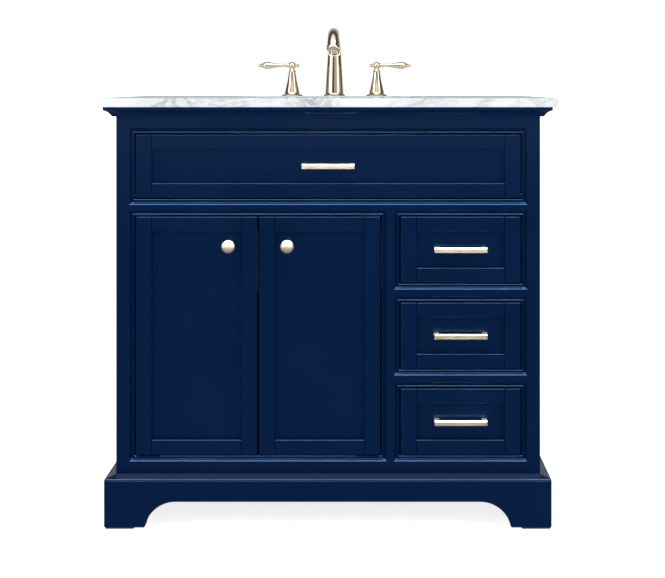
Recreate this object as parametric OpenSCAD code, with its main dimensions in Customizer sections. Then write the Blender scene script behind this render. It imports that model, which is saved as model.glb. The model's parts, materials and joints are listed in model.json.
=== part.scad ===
// Bathroom vanity cabinet: a furniture-style base with a face frame, two inset
// doors, three drawers, a tip-out front, a stone top, a basin and a widespread
// faucet. Millimetres, +Z up, fronts face -Y. The origin is on the floor at the
// middle of the whole object.

/* [Overall] */
// Width of the stone top
top_w = 914.4; // [900:1:930]
// Depth of the stone top, wall to front edge
top_d = 546; // [540:1:552]
// Height of the deck above the floor
deck_z = 858; // [855:1:865]
// Thickness of the stone top
top_t = 18; // [16:1:22]

/* [Cabinet] */
// Width across the outside of the case
case_w = 851; // [845:1:856]
// How far the case front stands behind the edge of the top
front_setback = 32; // [28:1:36]
// Thickness of the case panels
board_t = 18; // [15:1:19]
// Thickness of the face frame and of every front
front_t = 20; // [18:1:22]
// How far the crown stands proud of the case
crown_out = 22; // [18:1:24]
// Height of the crown
crown_h = 19; // [16:1:22]

/* [Base] */
// Height of the base boards
base_h = 96; // [90:1:98]
// Thickness of the base boards
base_t = 20; // [18:1:22]
// Height of the arch under the base boards
arch_z = 54.4; // [48:0.1:56]
// Radius of the curve between arch and foot
arch_r = 62; // [56:1:64]
// Distance from the end of a board to the middle of that curve
arch_inset = 142; // [135:1:150]
// Thickness of the foot pads
pad_t = 3.6; // [3:0.1:5]

/* [Openings] */
// Width of the bead moulding around each opening
bead_w = 12.5; // [12:0.1:13]
// Half the width between the outer bead edges on both sides of the case
field_x = 388.5; // [386:0.5:390]
// Left edge of the stile between the doors and the drawers
post_left = 106.5; // [104:0.5:108]
// Right edge of that stile
post_right = 143.5; // [142:0.5:146]
// Lowest edge of the door and drawer openings
field_z = 139.5; // [138:0.5:142]
// Height of one drawer opening
drawer_h = 136.3; // [134:0.1:138]
// Distance from one drawer opening to the next
drawer_pitch = 172.7; // [172:0.1:174]
// Lower edge of the tip-out opening
tip_low = 655; // [654:0.5:657]
// Upper edge of the tip-out opening
tip_high = 786; // [784:0.5:788]

/* [Fronts] */
// Gap around each front
gap = 2; // [2:0.1:3]
// Gap between the two doors
door_gap = 3.5; // [3:0.1:4]
// Width of the stiles of a front
stile_w = 31.5; // [30:0.5:33]
// Width of the rails of a front
rail_w = 29.5; // [28:0.5:31]
// Depth of the recessed panel below the front's face
panel_sink = 8; // [6:0.5:10]
// Thickness of the recessed panel
panel_t = 6; // [5:0.5:8]

/* [Hardware] */
// Length of a pull
pull_len = 106; // [104:1:112]
// Distance between the posts of a pull
pull_pitch = 96; // [94:1:97]
// Diameter of a door knob
knob_d = 27; // [25:1:30]
// Height of the knobs
knob_z = 560; // [550:1:570]

/* [Faucet] */
// Distance from the spout to each handle
handle_x = 101.6; // [100:0.1:104]
// Distance of the faucet behind the middle of the top
faucet_y = 202; // [200:1:204]
// Height of the top of the spout above the deck
spout_h = 160; // [158:1:162]
// Radius of the spout's bend
bend_r = 54; // [50:1:56]
// Length of a lever from its pivot
lever_len = 82; // [78:1:86]

/* [Hidden] */
$fn = 64;
eps = 1;

navy = [0.05, 0.13, 0.31];
marble = [0.93, 0.93, 0.92];
gold = [0.84, 0.74, 0.57];
steel = [0.70, 0.71, 0.72];
birch = [0.80, 0.68, 0.50];
china = [0.96, 0.96, 0.95];
rubber = [0.12, 0.12, 0.12];

// Case
back_y = top_d / 2;
face_y = -back_y + front_setback;
frame_back = face_y + front_t;
case_x = case_w / 2;
case_top = deck_z - top_t;
case_low = 60;
inner_x = case_x - board_t;
floor_z = base_h + 8;
bead_t = 8;
back_t = 9;
back_in = 3;
back_face = back_y - back_in - back_t;
field_top = field_z + 2 * drawer_pitch + drawer_h;
partition_x = post_left + 9;

// Back: the hanging rail with its two screw holes, and the opening for pipes
wall_hole_pitch = 406.4;
wall_hole_z = 790;
wall_hole_r = 2.5;
rail_low = 750;
pipe_x0 = -70;
pipe_x1 = 90;
pipe_z0 = 380;
pipe_z1 = 530;

// Fronts
front_y = face_y + 1;
panel_y = front_y + panel_sink;
groove = 8;
joint = 0.05;
door_mid = (post_left - field_x) / 2;
door_low = field_z + gap;
door_high = field_top - gap;
door_x = [-field_x + gap, door_mid - door_gap / 2, door_mid + door_gap / 2, post_left - gap];
knob_offset = 59;
tip_x = field_x - gap;

// Door and tip-out pivots: a pin close to the front corner lets the front
// turn without its edge touching the frame
pivot_in = 6;
pivot_back = 5;
pivot_y = front_y + pivot_back;
pin_r = 2.5;
pin_fit = 0.04;
pin_in = 0.2;
leaf_t = 2.5;
leaf_w = 9;
leaf_len = 46;
left_pivot_x = -field_x + gap + pivot_in;
right_pivot_x = post_left - gap - pivot_in;
tip_pivot_z = tip_low + gap + pivot_in;

// Drawers
box_side = 12;
box_x0 = post_right + 6;
box_x1 = field_x - 6;
box_y0 = front_y + front_t;
box_y1 = 215;
box_h = 100;
box_lift = 14;
runner_len = 420;
front_h = drawer_h - 2 * gap;
pull_x = (post_right + field_x) / 2;

// Base
base_x = case_x + base_t;
base_y = face_y - base_t;

// Basin and its cut-out
bowl_y = -12;
bowl_w = 430;
bowl_d = 290;
bowl_r = 48;
bowl_depth = 140;
bowl_wall = 9;
bowl_floor = case_top - bowl_depth;
bowl_rim = 20;
rim_t = 9;
boss_t = 3;
drain_r = 22;
drain_fit = 0.5;
nut_t = 12;
tail_r = 15.875;
tail_wall = 1.2;
tail_low = 560;

// Faucet
shank_r = 10.4;
stem_r = 5;
stem_len = 33;
lever_rise = 73;
hub_r = 8.5;
tap_hole_r = 17.5;
shank_len = 60;
tap_nut_r = 21;
tap_nut_t = 9;
tube_r = 12;
bend_z = deck_z + spout_h - bend_r - tube_r;
mouth_r = 15.5;

// The tube of the spout narrows towards the top of its bend and widens again
// towards the mouth. Each stretch of the bend has its own radius
bend_radii = [15.5, 13.5, tube_r, tube_r, 12.6, 13.6];
bend_step = 26;
bend_angle = bend_step * len(bend_radii);

// ---------- helpers ----------
module bar(x0, x1, y0, y1, z0, z1) {
    translate([x0, y0, z0]) cube([x1 - x0, y1 - y0, z1 - z0]);
}

function arc(cx, cy, r, from, to, n) =
    [for (i = [0 : n]) let (a = from + (to - from) * i / n) [cx + r * cos(a), cy + r * sin(a)]];

// A rectangle with true round corners, centred on the origin
module rounded(w, d, r) {
    square([w - 2 * r, d], center = true);
    square([w, d - 2 * r], center = true);
    for (x = [-1, 1], y = [-1, 1]) translate([x * (w / 2 - r), y * (d / 2 - r)]) circle(r = r);
}

// Runs a profile along X. The profile gives [y, z]
module run(length) {
    rotate([90, 0, 90]) linear_extrude(length) children();
}

// Cross-section of the bead moulding: a rounded outer step, a cove and an
// inner bead. The frame's face is y = 0 and the opening's edge is z = 0
module bead_section() {
    polygon(concat(
        [[bead_t, 0], [5.4, 0]],
        arc(4.6, -2.5, 2.1, 90, 270, 8),
        [[5.6, -4.8], [5.6, -7.6]],
        arc(4, -bead_w, 4, 90, 180, 6),
        [[bead_t, -bead_w]]
    ));
}

// One side of a bead frame, below the edge it runs along, mitred at both ends
module bead_strip(length) {
    intersection() {
        translate([-bead_w, 0, 0]) run(length + 2 * bead_w) bead_section();
        rotate([90, 0, 0]) translate([0, 0, -bead_t - eps]) linear_extrude(bead_t + 2 * eps)
            polygon([[joint, 0], [length - joint, 0], [length + bead_w - joint, -bead_w],
                [joint - bead_w, -bead_w]]);
    }
}

// Four mitred strips around an opening
module bead_frame(x0, x1, z0, z1) {
    translate([x0, face_y, z0]) bead_strip(x1 - x0);
    translate([x1, face_y, z0]) rotate([0, -90, 0]) bead_strip(z1 - z0);
    translate([x1, face_y, z1]) rotate([0, 180, 0]) bead_strip(x1 - x0);
    translate([x0, face_y, z1]) rotate([0, 90, 0]) bead_strip(z1 - z0);
}

// A frame member: its back layer, and the narrower layer between the beads
module member(back, front) {
    bar(back[0], back[1], face_y + bead_t, frame_back, back[2], back[3]);
    bar(front[0], front[1], face_y, face_y + bead_t, front[2], front[3]);
}

// Runs a profile round the front and both sides of the case, mitred at the
// corners. The profile gives [distance out from the case, z]
module round_case(out) {
    side_len = back_y - face_y;
    intersection() {
        translate([-case_x - out, face_y, 0]) rotate([90, 0, 90])
            linear_extrude(2 * (case_x + out)) mirror([1, 0]) children();
        linear_extrude(deck_z) polygon([[joint - case_x, face_y], [case_x - joint, face_y],
            [case_x + out - joint, face_y - out], [joint - case_x - out, face_y - out]]);
    }
    for (s = [0, 1]) mirror([s, 0, 0]) intersection() {
        translate([case_x, back_y, 0]) rotate([90, 0, 0]) linear_extrude(side_len + out) children();
        linear_extrude(deck_z) polygon([[case_x, back_y], [case_x + out, back_y],
            [case_x + out, face_y - out], [case_x, face_y]]);
    }
}

// The four members of a framed front. The panel sits in their grooves, and a
// hairline glue joint parts each rail from its stiles
module front_members(x0, x1, z0, z1) {
    rail_x0 = x0 + stile_w + joint;
    rail_x1 = x1 - stile_w - joint;
    difference() {
        union() {
            bar(x0, x0 + stile_w, front_y, front_y + front_t, z0, z1);
            bar(x1 - stile_w, x1, front_y, front_y + front_t, z0, z1);
        }
        front_panel(x0, x1, z0, z1);
    }
    difference() {
        union() {
            bar(rail_x0, rail_x1, front_y, front_y + front_t, z0, z0 + rail_w);
            bar(rail_x0, rail_x1, front_y, front_y + front_t, z1 - rail_w, z1);
        }
        front_panel(x0, x1, z0, z1);
    }
}

module front_panel(x0, x1, z0, z1) {
    bar(x0 + stile_w - groove, x1 - stile_w + groove, panel_y, panel_y + panel_t,
        z0 + rail_w - groove, z1 - rail_w + groove);
}

// A bar pull with two square posts, screwed to a recessed panel
module pull(x, z) {
    bar_h = 10.5;
    bar_y = panel_y - 21;
    post_w = 10;
    color(gold) translate([x, 0, z]) {
        difference() {
            bar(-pull_len / 2, pull_len / 2, bar_y, bar_y + 8, -bar_h / 2, bar_h / 2);
            for (s = [-1, 1]) translate([0, bar_y, s * bar_h / 2]) rotate([45, 0, 0])
                bar(-pull_len / 2 - eps, pull_len / 2 + eps, -1.4, 1.4, -1.4, 1.4);
        }
        for (s = [-1, 1]) bar(s * pull_pitch / 2 - post_w / 2, s * pull_pitch / 2 + post_w / 2,
            bar_y + 8, panel_y, -bar_h / 2, bar_h / 2);
    }
}

module knob(x) {
    color(gold) translate([x, panel_y, knob_z]) rotate([90, 0, 0]) rotate_extrude()
        polygon(concat([[0, 0], [7, 0], [7, 2], [5, 4], [5, 10], [8, 14], [knob_d / 2, 17]],
            [for (i = [0 : 6]) [knob_d / 2 * cos(15 * i), 19 + 5 * sin(15 * i)]]));
}

// ---------- case ----------
module side_panel() {
    bar(inner_x, case_x, frame_back, back_y, case_low, case_top);
}
module side_left() { color(navy) mirror([1, 0, 0]) side_panel(); }
module side_right() { color(navy) side_panel(); }
module partition() {
    color(birch) bar(partition_x, partition_x + board_t, frame_back, back_face,
        floor_z + board_t, field_top + 15);
}
module bottom_panel() {
    color(birch) bar(-inner_x, inner_x, frame_back, back_face, floor_z, floor_z + board_t);
}

module wall_holes() {
    for (s = [-1, 1]) translate([s * wall_hole_pitch / 2, back_y, wall_hole_z])
        rotate([90, 0, 0]) cylinder(r = wall_hole_r, h = 60);
}
module back_panel() {
    color(birch) difference() {
        bar(-inner_x, inner_x, back_face, back_face + back_t, case_low, case_top);
        bar(pipe_x0, pipe_x1, back_face - eps, back_y, pipe_z0, pipe_z1);
        wall_holes();
    }
}
module back_rail() {
    color(birch) difference() {
        bar(-inner_x, inner_x, back_face - board_t, back_face, rail_low, case_top);
        wall_holes();
    }
}

// ---------- face frame ----------
module stile_side() {
    member([field_x, case_x, case_low, case_top], [field_x + bead_w, case_x, case_low, case_top]);
}
module stile_left() {
    color(navy) difference() {
        mirror([1, 0, 0]) stile_side();
        tip_leaf_cabinet(-1);
    }
}
module stile_right() {
    color(navy) difference() {
        stile_side();
        tip_leaf_cabinet(1);
    }
}
module stile_centre() {
    color(navy) member([post_left, post_right, field_z, field_top],
        [post_left + bead_w, post_right - bead_w, field_z - bead_w, field_top + bead_w]);
}
module rail_top() {
    color(navy) member([-field_x, field_x, tip_high, case_top],
        [-field_x - bead_w, field_x + bead_w, tip_high + bead_w, case_top]);
}
module rail_middle() {
    color(navy) difference() {
        member([-field_x, field_x, field_top, tip_low],
            [-field_x - bead_w, field_x + bead_w, field_top + bead_w, tip_low - bead_w]);
        door_leaves_cabinet();
    }
}
module rail_bottom() {
    color(navy) difference() {
        member([-field_x, field_x, case_low, field_z],
            [-field_x - bead_w, field_x + bead_w, case_low, field_z - bead_w]);
        door_leaves_cabinet();
    }
}
module drawer_rails() {
    color(navy) for (i = [0, 1]) let (z = field_z + i * drawer_pitch + drawer_h)
        member([post_right, field_x, z, z + drawer_pitch - drawer_h],
            [post_right - bead_w, field_x + bead_w, z + bead_w, z + drawer_pitch - drawer_h - bead_w]);
}
module tip_out_bead() {
    color(navy) difference() {
        bead_frame(-field_x, field_x, tip_low, tip_high);
        tip_leaf_cabinet(-1);
        tip_leaf_cabinet(1);
    }
}
module door_bead() {
    color(navy) difference() {
        bead_frame(-field_x, post_left, field_z, field_top);
        door_leaves_cabinet();
    }
}
module drawer_beads() {
    color(navy) for (i = [0 : 2]) let (z = field_z + i * drawer_pitch)
        bead_frame(post_right, field_x, z, z + drawer_h);
}

// ---------- mouldings and base ----------
module crown() {
    color(navy) round_case(crown_out) polygon(concat(
        [[0, case_top - crown_h], [6, case_top - crown_h]],
        arc(crown_out - 0.5, case_top - crown_h + 1, 14, 172, 98, 8),
        [[crown_out, case_top - 6], [crown_out, case_top], [0, case_top]]));
}
module base_cap() {
    color(navy) round_case(base_t) polygon([[0, base_h], [base_t - 1.5, base_h],
        [base_t, base_h + 1], [base_t - 1, base_h + 2.4], [base_t - 3, base_h + 3], [0, floor_z]]);
}

// Outline of the arch cut under a board of a given length, from its first end
module arch_cut(length) {
    span = length - 2 * arch_inset;
    translate([arch_inset, -eps]) square([span, arch_z + eps]);
    for (x = [arch_inset, length - arch_inset]) translate([x, arch_z - arch_r]) circle(r = arch_r);
}
module base_front() {
    color(navy) intersection() {
        difference() {
            bar(-base_x, base_x, base_y, face_y, pad_t, base_h);
            translate([-base_x, face_y + eps, 0]) rotate([90, 0, 0])
                linear_extrude(base_t + 2 * eps) arch_cut(2 * base_x);
        }
        linear_extrude(base_h) polygon([[-case_x, face_y], [case_x, face_y],
            [base_x, base_y], [-base_x, base_y]]);
    }
}
module base_sides() {
    side_len = back_y - base_y;
    color(navy) for (s = [0, 1]) mirror([s, 0, 0]) intersection() {
        difference() {
            bar(case_x, base_x, base_y, back_y, pad_t, base_h);
            translate([case_x - eps, base_y, 0]) rotate([90, 0, 90])
                linear_extrude(base_t + 2 * eps) arch_cut(side_len);
        }
        linear_extrude(base_h) polygon([[case_x, face_y], [case_x, back_y],
            [base_x, back_y], [base_x, base_y]]);
    }
}
module corner_blocks() {
    block = 42;
    color(birch) for (s = [-1, 1]) {
        translate([s * (case_x - block / 2), 0, 0]) {
            bar(-block / 2, block / 2, face_y, face_y + block, pad_t, case_low);
            bar(-block / 2, block / 2, back_y - block, back_y, pad_t, case_low);
        }
    }
}
module foot_pads() {
    pad_w = 57;
    pad_d = 44;
    color(rubber) for (s = [-1, 1]) translate([s * (base_x - pad_w / 2 - 2), 0, 0]) {
        bar(-pad_w / 2, pad_w / 2, base_y + 2, base_y + 2 + pad_d, 0, pad_t);
        bar(-pad_w / 2, pad_w / 2, back_y - 2 - pad_d, back_y - 2, 0, pad_t);
    }
}

// A drawer runner is an angle that the drawer side rests in
module runners() {
    lip = 1.5;
    color(steel) for (i = [0 : 2]) let (z = field_z + gap + i * drawer_pitch + box_lift) {
        y0 = frame_back + 4;
        bar(partition_x + board_t, box_x0 - 1, y0, y0 + runner_len, z - 6, z - lip);
        bar(partition_x + board_t, box_x0 + 9, y0, y0 + runner_len, z - lip, z);
        bar(box_x1 + 1, inner_x, y0, y0 + runner_len, z - 6, z - lip);
        bar(box_x1 - 9, inner_x, y0, y0 + runner_len, z - lip, z);
    }
}

// ---------- pivot hinges ----------
// A leaf lies from its pivot towards +X, with the pivot at the origin
module leaf(length) {
    translate([-leaf_w / 2, -leaf_w / 2, 0]) cube([length, leaf_w, leaf_t]);
}
module door_leaves_cabinet() {
    for (side = [0, 1]) translate([side == 0 ? left_pivot_x : right_pivot_x, pivot_y, 0])
        mirror([side, 0, 0]) {
            translate([0, 0, field_top]) leaf(leaf_len);
            translate([0, 0, field_z - leaf_t]) leaf(leaf_len);
        }
}
module door_pins() {
    for (x = [left_pivot_x, right_pivot_x]) translate([x, pivot_y, 0]) {
        for (z = [door_high - leaf_t + pin_in, field_z - pin_in]) translate([0, 0, z])
            cylinder(r = pin_r, h = gap + leaf_t);
    }
}
// Leaf of the tip-out front let into a side of its opening: s = -1 left, 1 right
module tip_leaf_cabinet(s) {
    translate([s * field_x, pivot_y - leaf_w / 2, tip_pivot_z - leaf_w / 2])
        mirror([s < 0 ? 1 : 0, 0, 0]) cube([leaf_t, leaf_w, leaf_len]);
}
module tip_pins() {
    for (s = [-1, 1]) translate([s * field_x, pivot_y, tip_pivot_z]) rotate([0, -90 * s, 0])
        translate([0, 0, -pin_in]) cylinder(r = pin_r, h = gap + leaf_t);
}
module hinge_plates() {
    color(steel) {
        door_leaves_cabinet();
        door_pins();
        tip_leaf_cabinet(-1);
        tip_leaf_cabinet(1);
        tip_pins();
    }
}

// The leaves let into a door, with the pin's bore
module door_leaves(side) {
    translate([side == 0 ? left_pivot_x : right_pivot_x, pivot_y, 0]) mirror([side, 0, 0]) {
        translate([0, 0, door_high - leaf_t]) leaf(leaf_len);
        translate([0, 0, door_low]) leaf(leaf_len);
    }
}
module door_hinges(side) {
    color(steel) difference() {
        door_leaves(side);
        translate([side == 0 ? left_pivot_x : right_pivot_x, pivot_y, 0])
            cylinder(r = pin_r + pin_fit, h = deck_z);
    }
}
module tip_leaves() {
    for (s = [0, 1]) mirror([s, 0, 0])
        translate([field_x - gap - leaf_t, pivot_y - leaf_w / 2, tip_pivot_z - leaf_w / 2])
            cube([leaf_t, leaf_w, leaf_len]);
}

// ---------- doors ----------
module door_frame(x0, x1, side) {
    color(navy) difference() {
        front_members(x0, x1, door_low, door_high);
        door_leaves(side);
    }
}
module door_left_frame() { door_frame(door_x[0], door_x[1], 0); }
module door_right_frame() { door_frame(door_x[2], door_x[3], 1); }
module door_left_panel() { color(navy) front_panel(door_x[0], door_x[1], door_low, door_high); }
module door_right_panel() { color(navy) front_panel(door_x[2], door_x[3], door_low, door_high); }
module door_left_knob() { knob(door_mid - knob_offset); }
module door_right_knob() { knob(door_mid + knob_offset); }
module door_left_hinges() { door_hinges(0); }
module door_right_hinges() { door_hinges(1); }

// ---------- drawers ----------
// Drawer 0 is the lowest
function drawer_z(i) = field_z + gap + i * drawer_pitch;

module drawer_front(i) {
    x0 = post_right + gap;
    x1 = field_x - gap;
    color(navy) {
        front_members(x0, x1, drawer_z(i), drawer_z(i) + front_h);
        bar(x0 + stile_w - groove + joint, x1 - stile_w + groove - joint, panel_y + joint,
            panel_y + panel_t - joint, drawer_z(i) + rail_w - groove + joint,
            drawer_z(i) + front_h - rail_w + groove - joint);
    }
}
module drawer_box(i) {
    z0 = drawer_z(i) + box_lift;
    floor_t = 6;
    color(birch) {
        for (x = [box_x0, box_x1 - box_side]) bar(x, x + box_side, box_y0, box_y1, z0, z0 + box_h);
        for (y = [box_y0, box_y1 - box_side])
            bar(box_x0 + box_side + joint, box_x1 - box_side - joint, y, y + box_side, z0, z0 + box_h);
        bar(box_x0 + box_side + joint, box_x1 - box_side - joint, box_y0 + box_side + joint,
            box_y1 - box_side - joint, z0 + floor_t, z0 + 2 * floor_t);
    }
}
module drawer_pull(i) { pull(pull_x, drawer_z(i) + front_h / 2); }
module drawer_bottom_front() { drawer_front(0); }
module drawer_middle_front() { drawer_front(1); }
module drawer_top_front() { drawer_front(2); }
module drawer_bottom_box() { drawer_box(0); }
module drawer_middle_box() { drawer_box(1); }
module drawer_top_box() { drawer_box(2); }
module drawer_bottom_pull() { drawer_pull(0); }
module drawer_middle_pull() { drawer_pull(1); }
module drawer_top_pull() { drawer_pull(2); }

// ---------- tip-out front ----------
module tip_out_frame() {
    color(navy) difference() {
        front_members(-tip_x, tip_x, tip_low + gap, tip_high - gap);
        tip_leaves();
    }
}
module tip_out_panel() { color(navy) front_panel(-tip_x, tip_x, tip_low + gap, tip_high - gap); }
module tip_out_pull() { pull(0, (tip_low + tip_high) / 2); }
module tip_out_hinges() {
    color(steel) difference() {
        tip_leaves();
        for (s = [-1, 1]) translate([s * field_x, pivot_y, tip_pivot_z]) rotate([0, -90 * s, 0])
            cylinder(r = pin_r + pin_fit, h = 10);
    }
}
module tip_out_tray() {
    tray_x = 172;
    tray_y0 = front_y + front_t;
    tray_y1 = tray_y0 + 42;
    tray_z0 = tip_low + gap + 8;
    tray_h = 68;
    wall = 2;
    color(china) difference() {
        bar(-tray_x, tray_x, tray_y0, tray_y1, tray_z0, tray_z0 + tray_h);
        bar(-tray_x + wall, tray_x - wall, tray_y0 + wall, tray_y1 - wall,
            tray_z0 + wall, tray_z0 + tray_h + eps);
    }
}

// ---------- stone top and basin ----------
// The basin's outline, grown outwards
module bowl_outline(grow) {
    rounded(bowl_w + 2 * grow, bowl_d + 2 * grow, bowl_r + grow);
}
module countertop() {
    color(marble) difference() {
        bar(-top_w / 2, top_w / 2, -back_y, back_y, case_top, deck_z);
        translate([0, bowl_y, case_top - eps]) linear_extrude(top_t + 2 * eps) bowl_outline(0);
        for (x = [-handle_x, 0, handle_x]) translate([x, faucet_y, case_top - eps])
            cylinder(r = tap_hole_r, h = top_t + 2 * eps);
    }
}
module basin() {
    color(china) translate([0, bowl_y, 0]) difference() {
        union() {
            translate([0, 0, bowl_floor - bowl_wall])
                linear_extrude(bowl_depth + bowl_wall) bowl_outline(bowl_wall);
            translate([0, 0, case_top - rim_t]) linear_extrude(rim_t) bowl_outline(bowl_rim);
            translate([0, 0, bowl_floor - bowl_wall - boss_t]) cylinder(r = 34, h = boss_t + eps);
        }
        translate([0, 0, bowl_floor]) linear_extrude(bowl_depth + eps) bowl_outline(0);
        translate([0, 0, bowl_floor - 40]) cylinder(r = drain_r, h = 80);
    }
}
// The drain's flange sits in the basin with its threaded body below
module drain() {
    color(gold) translate([0, bowl_y, 0]) rotate_extrude() polygon([
        [17, bowl_floor - 60], [drain_r - drain_fit, bowl_floor - 60],
        [drain_r - drain_fit, bowl_floor + 0.4], [31, bowl_floor + 3.5], [31, bowl_floor + 5],
        [24, bowl_floor + 4.5], [19, bowl_floor], [17, bowl_floor - 6]]);
}
module drain_nut() {
    color(steel) translate([0, bowl_y, bowl_floor - bowl_wall - boss_t - nut_t]) difference() {
        cylinder(r = 32, h = nut_t, $fn = 8);
        translate([0, 0, -eps]) cylinder(r = drain_r - drain_fit, h = nut_t + 2 * eps);
    }
}
module tailpiece() {
    color(steel) translate([0, bowl_y, tail_low]) difference() {
        cylinder(r = tail_r, h = bowl_floor - 30 - tail_low);
        translate([0, 0, -eps]) cylinder(r = tail_r - tail_wall, h = bowl_floor);
    }
}
module stopper() {
    color(gold) translate([0, bowl_y, bowl_floor]) rotate_extrude() polygon([
        [0, -24], [4, -24], [4, -2], [15, 0], [22, 5.2], [22, 6.4], [16, 8.6], [8, 9.6], [0, 10]]);
}

// ---------- faucet ----------
module at_handles() {
    for (x = [-handle_x, handle_x]) translate([x, faucet_y, deck_z]) children();
}
module handle_bells() {
    color(gold) at_handles() rotate_extrude() polygon([
        [stem_r + pin_fit, 0], [25, 0], [25.4, 2], [24, 4.5], [19, 6], [17.5, 8], [16.6, 12],
        [15, 20], [12.4, 30], [10, 40], [8, 50], [6.8, 58], [7.4, 60], [7.4, 63],
        [stem_r + pin_fit, 63]]);
}
module valves() {
    color(steel) at_handles() difference() {
        union() {
            translate([0, 0, -shank_len]) cylinder(r = shank_r, h = shank_len);
            translate([0, 0, -top_t - tap_nut_t]) cylinder(r = tap_nut_r, h = tap_nut_t, $fn = 6);
        }
        translate([0, 0, -shank_len - eps]) cylinder(r = 7, h = 39 + eps);
    }
}
// A teardrop lever with a finial at its tip, a hub ball and a short stem.
// It lies along +X from the hub
module lever() {
    color(gold) {
        translate([0, 0, lever_rise]) {
            sphere(r = hub_r);
            rotate([0, 90, 0]) rotate_extrude() polygon([
                [0, 0], [3.2, 0], [3.6, 12], [3.2, 20], [4.6, 32], [7, 46], [8.4, 56], [7.6, 64],
                [4.6, 70], [2.6, 72], [4.2, 75], [4.6, 77.5], [3.4, 80.5], [0, lever_len]]);
            rotate([0, -90, 0]) rotate_extrude() polygon([
                [0, 0], [3, 7], [2.4, 9.5], [4, 11.5], [4.4, 13.5], [2.8, 16], [0, 17]]);
        }
        translate([0, 0, lever_rise - stem_len]) cylinder(r = stem_r, h = stem_len);
    }
}
module lever_right() { translate([handle_x, faucet_y, deck_z]) lever(); }
module lever_left() { translate([-handle_x, faucet_y, deck_z]) mirror([1, 0, 0]) lever(); }

module spout() {
    color(gold) translate([0, faucet_y, 0]) {
        translate([0, 0, deck_z]) rotate_extrude() polygon([
            [0, 0], [25.5, 0], [26, 2], [24.5, 5], [21.5, 8], [20.8, 14], [18.6, 50],
            [16.4, bend_z - deck_z], [0, bend_z - deck_z]]);
        for (i = [0 : len(bend_radii) - 1]) translate([0, -bend_r, bend_z])
            rotate([i * bend_step, 0, 0]) rotate([90, 0, 90]) rotate_extrude(angle = bend_step)
                translate([bend_r, 0]) circle(r = bend_radii[i]);
    }
}
module aerator() {
    color(steel) translate([0, faucet_y - bend_r, bend_z]) rotate([bend_angle, 0, 0])
        translate([0, bend_r, 0]) difference() {
            cylinder(r = mouth_r, h = 8);
            translate([0, 0, 3]) cylinder(r = mouth_r - 4, h = 8);
        }
}
module spout_nut() {
    color(steel) translate([0, faucet_y, 0]) {
        translate([0, 0, deck_z - shank_len]) cylinder(r = shank_r, h = shank_len);
        translate([0, 0, case_top - tap_nut_t]) cylinder(r = tap_nut_r, h = tap_nut_t, $fn = 6);
    }
}

side_left();
side_right();
partition();
bottom_panel();
back_panel();
back_rail();
stile_left();
stile_right();
stile_centre();
rail_top();
rail_middle();
rail_bottom();
drawer_rails();
tip_out_bead();
door_bead();
drawer_beads();
crown();
base_front();
base_sides();
base_cap();
foot_pads();
corner_blocks();
runners();
hinge_plates();
countertop();
basin();
drain();
drain_nut();
tailpiece();
stopper();
spout();
aerator();
spout_nut();
handle_bells();
valves();
lever_left();
lever_right();
door_left_frame();
door_left_panel();
door_left_knob();
door_left_hinges();
door_right_frame();
door_right_panel();
door_right_knob();
door_right_hinges();
drawer_top_front();
drawer_top_box();
drawer_top_pull();
drawer_middle_front();
drawer_middle_box();
drawer_middle_pull();
drawer_bottom_front();
drawer_bottom_box();
drawer_bottom_pull();
tip_out_frame();
tip_out_panel();
tip_out_pull();
tip_out_tray();
tip_out_hinges();
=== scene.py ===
"""Bathroom vanity cabinet: a navy furniture-style base with inset doors, drawers and a
tip-out front, a marble top with an undermount basin, and a widespread lever faucet.

All sizes are in metres. +Z is up and the fronts face -Y."""

import json
import math

import bmesh
import bpy
from mathutils import Matrix, Vector

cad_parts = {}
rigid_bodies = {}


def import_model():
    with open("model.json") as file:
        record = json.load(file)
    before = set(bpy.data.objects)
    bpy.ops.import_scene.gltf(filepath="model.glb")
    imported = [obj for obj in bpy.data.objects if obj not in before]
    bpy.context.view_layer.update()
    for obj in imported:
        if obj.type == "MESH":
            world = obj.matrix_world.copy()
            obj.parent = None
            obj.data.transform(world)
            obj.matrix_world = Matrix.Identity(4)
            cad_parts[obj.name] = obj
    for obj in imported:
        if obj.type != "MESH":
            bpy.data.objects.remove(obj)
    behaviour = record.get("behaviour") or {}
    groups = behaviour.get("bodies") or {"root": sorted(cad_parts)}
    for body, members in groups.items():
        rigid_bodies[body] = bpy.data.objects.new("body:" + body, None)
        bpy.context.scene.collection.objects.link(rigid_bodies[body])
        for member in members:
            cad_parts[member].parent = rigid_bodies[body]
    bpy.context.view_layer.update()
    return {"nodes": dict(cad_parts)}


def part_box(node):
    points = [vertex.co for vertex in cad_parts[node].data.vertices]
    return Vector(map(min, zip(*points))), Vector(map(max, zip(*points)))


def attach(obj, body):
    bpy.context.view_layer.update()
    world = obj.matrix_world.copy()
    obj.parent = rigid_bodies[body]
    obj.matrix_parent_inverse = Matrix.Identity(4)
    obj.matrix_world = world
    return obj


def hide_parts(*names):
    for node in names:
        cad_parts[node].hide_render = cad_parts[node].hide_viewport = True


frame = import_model()

bl_info = {
    "name": "Vanity Cabinet",
    "version": (1, 0, 0),
    "blender": (4, 5, 0),
    "location": "View3D > Sidebar > Vanity",
    "description": "Builds a bathroom vanity cabinet piece by piece",
    "category": "Object",
}

MM = 0.001
SMOOTH_ANGLE = math.radians(32)
SAME_PLACE = 1e-6
SWAP_Y_AND_Z = Matrix(((1, 0, 0, 0), (0, 0, 1, 0), (0, 1, 0, 0), (0, 0, 0, 1)))
BOWL_RIM = 20 * MM
BOWL_CORNER = 48 * MM
TAP_HOLE_RADIUS = 17.5 * MM
PANEL_EDGE = 0.3 * MM


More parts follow.
